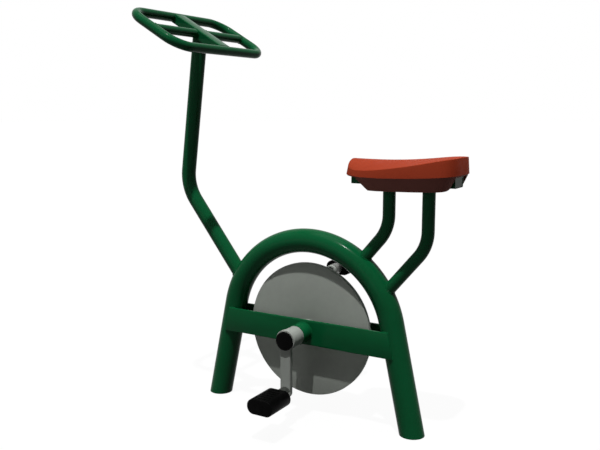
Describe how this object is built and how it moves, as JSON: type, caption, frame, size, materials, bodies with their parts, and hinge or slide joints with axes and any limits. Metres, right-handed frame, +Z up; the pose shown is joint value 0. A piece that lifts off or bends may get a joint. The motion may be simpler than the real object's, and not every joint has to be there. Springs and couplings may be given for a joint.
{
  "type": "outdoor fitness bike",
  "caption": "Outdoor fitness bike with a bent tube arch, a spinning disc on a crank axle, free-turning pedals, a moulded seat and a ring handlebar.",
  "frame": {"origin": "on the ground, at the middle of the bounding box's bottom face", "axes": "+Z up, +X from the handlebar towards the seat, +Y along the crank axle from the near side to the far side"},
  "size_m": [1.0261, 0.588, 1.2926],
  "materials": {
    "green_powder_coat": "satin green powder coat",
    "grey_zinc_steel": "dull grey zinc plate",
    "bright_ground_steel": "bright ground steel",
    "black_moulded_plastic": "fine moulded grain",
    "black_rubber": "matt",
    "orange_red_moulded_plastic": "satin moulded",
    "maroon_moulded_plastic": "matt moulded"
  },
  "bodies": {
    "frame": {"arch_tube": "green_powder_coat", "bearing_housing_far": "green_powder_coat", "bearing_housing_near": "green_powder_coat", "bearing_outer_race_far": "bright_ground_steel", "bearing_outer_race_near": "bright_ground_steel", "dust_seal_far": "black_rubber", "dust_seal_near": "black_rubber", "foot_plate_front": "green_powder_coat", "foot_plate_rear": "green_powder_coat", "handlebar_centre_tube": "green_powder_coat", "handlebar_cross_tube_far": "green_powder_coat", "handlebar_cross_tube_near": "green_powder_coat", "handlebar_post": "green_powder_coat", "handlebar_ring": "green_powder_coat", "seat_bar": "green_powder_coat", "seat_bar_end_front": "green_powder_coat", "seat_bar_end_rear": "green_powder_coat", "seat_base": "maroon_moulded_plastic", "seat_bolt_1": "bright_ground_steel", "seat_bolt_2": "bright_ground_steel", "seat_bolt_3": "bright_ground_steel", "seat_bolt_4": "bright_ground_steel", "seat_cover": "orange_red_moulded_plastic", "seat_nut_1": "bright_ground_steel", "seat_nut_2": "bright_ground_steel", "seat_nut_3": "bright_ground_steel", "seat_nut_4": "bright_ground_steel", "seat_post_front": "green_powder_coat", "seat_post_rear": "green_powder_coat", "side_bar_far": "green_powder_coat", "side_bar_near": "green_powder_coat"},
    "crankset": {"axle_spacer_far": "bright_ground_steel", "axle_spacer_near": "bright_ground_steel", "bearing_inner_race_far": "bright_ground_steel", "bearing_inner_race_near": "bright_ground_steel", "crank_arm_far": "grey_zinc_steel", "crank_arm_near": "grey_zinc_steel", "crank_axle": "bright_ground_steel", "crank_bolt_far": "bright_ground_steel", "crank_bolt_near": "bright_ground_steel", "crank_boss_far": "grey_zinc_steel", "crank_boss_near": "grey_zinc_steel", "crank_cap_far": "black_moulded_plastic", "crank_cap_near": "black_moulded_plastic", "disc": "grey_zinc_steel", "disc_bolt_1": "bright_ground_steel", "disc_bolt_2": "bright_ground_steel", "disc_bolt_3": "bright_ground_steel", "disc_bolt_4": "bright_ground_steel", "disc_flange_far": "grey_zinc_steel", "disc_flange_near": "grey_zinc_steel", "pedal_spindle_far": "bright_ground_steel", "pedal_spindle_near": "bright_ground_steel"},
    "near_pedal": {"pedal_near": "black_moulded_plastic", "pedal_cap_near": "black_moulded_plastic", "pedal_nut_near": "bright_ground_steel"},
    "far_pedal": {"pedal_far": "black_moulded_plastic", "pedal_cap_far": "black_moulded_plastic", "pedal_nut_far": "bright_ground_steel"}
  },
  "joints": [
    {"name": "crank_spin", "type": "hinge", "parent": "frame", "child": "crankset", "pos_m": [0.02015, 0, 0.277], "axis": [0, 1, 0], "continuous": true},
    {"name": "near_pedal_spin", "type": "hinge", "parent": "crankset", "child": "near_pedal", "pos_m": [0.02015, -0.241, 0.112], "axis": [0, 1, 0], "continuous": true},
    {"name": "far_pedal_spin", "type": "hinge", "parent": "crankset", "child": "far_pedal", "pos_m": [0.02015, 0.241, 0.442], "axis": [0, 1, 0], "continuous": true}
  ]
}
